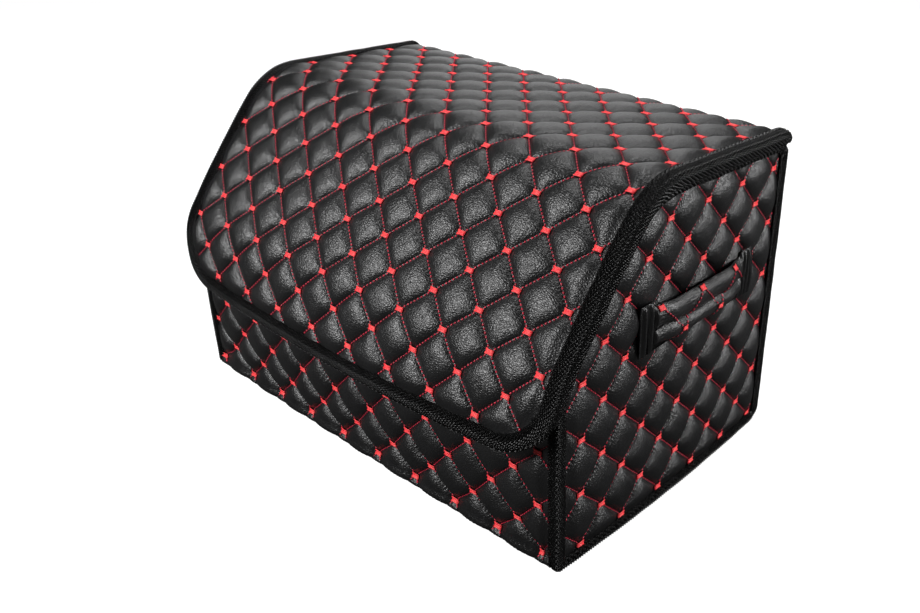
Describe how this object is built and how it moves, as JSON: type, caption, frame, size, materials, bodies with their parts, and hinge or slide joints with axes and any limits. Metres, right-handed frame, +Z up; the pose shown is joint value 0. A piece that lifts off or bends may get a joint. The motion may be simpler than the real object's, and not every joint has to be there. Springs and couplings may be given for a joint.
{
  "type": "organizer bag",
  "caption": "Stiff quilted storage box for a car boot: faux-leather walls over board, a bent lid hinged at the rear that closes over the front, side handles and a divider.",
  "frame": {"origin": "centre of the base, on the surface the bag stands on", "axes": "+X along the bag's width, to the right as seen from the front; +Y towards the hinged rear; +Z up"},
  "size_m": [0.525, 0.3301, 0.3072],
  "materials": {
    "black_leatherette": "pebble-grained faux leather quilted over thin foam, semi-matt",
    "braided_tape": "herringbone knitted binding tape, matt",
    "fibreboard": "raw pressed board, hidden between cover and lining",
    "lining_felt": "needled non-woven lining, matt",
    "plastic_sheet": "bent plastic stiffener, hidden in the lid",
    "hook_and_loop": "hook-and-loop strip",
    "red_thread": "heavy red sewing thread"
  },
  "bodies": {
    "box": {"back_board": "fibreboard", "back_cover": "black_leatherette", "back_lining": "lining_felt", "base_board": "fibreboard", "base_cover": "lining_felt", "divider_board": "fibreboard", "divider_cover": "lining_felt", "divider_tab_back": "hook_and_loop", "divider_tab_front": "hook_and_loop", "floor_lining": "lining_felt", "front_board": "fibreboard", "front_cover": "black_leatherette", "front_edge_tape": "braided_tape", "front_lining": "lining_felt", "handle_left": "black_leatherette", "handle_right": "black_leatherette", "loop_strip_left": "hook_and_loop", "loop_strip_right": "hook_and_loop", "side_binding_left": "braided_tape", "side_binding_right": "braided_tape", "side_board_left": "fibreboard", "side_board_right": "fibreboard", "side_cover_left": "black_leatherette", "side_cover_right": "black_leatherette", "side_lining_left": "lining_felt", "side_lining_right": "lining_felt"},
    "lid": {"lid_cover": "black_leatherette", "lid_sheet": "plastic_sheet", "lid_lining": "lining_felt", "lid_binding": "braided_tape", "hook_strip_left": "hook_and_loop", "hook_strip_right": "hook_and_loop"}
  },
  "joints": [
    {"name": "lid_hinge", "type": "hinge", "parent": "box", "child": "lid", "pos_m": [0, 0.1556, 0.2905], "axis": [-1, 0, 0], "range_deg": [0, 178]}
  ]
}
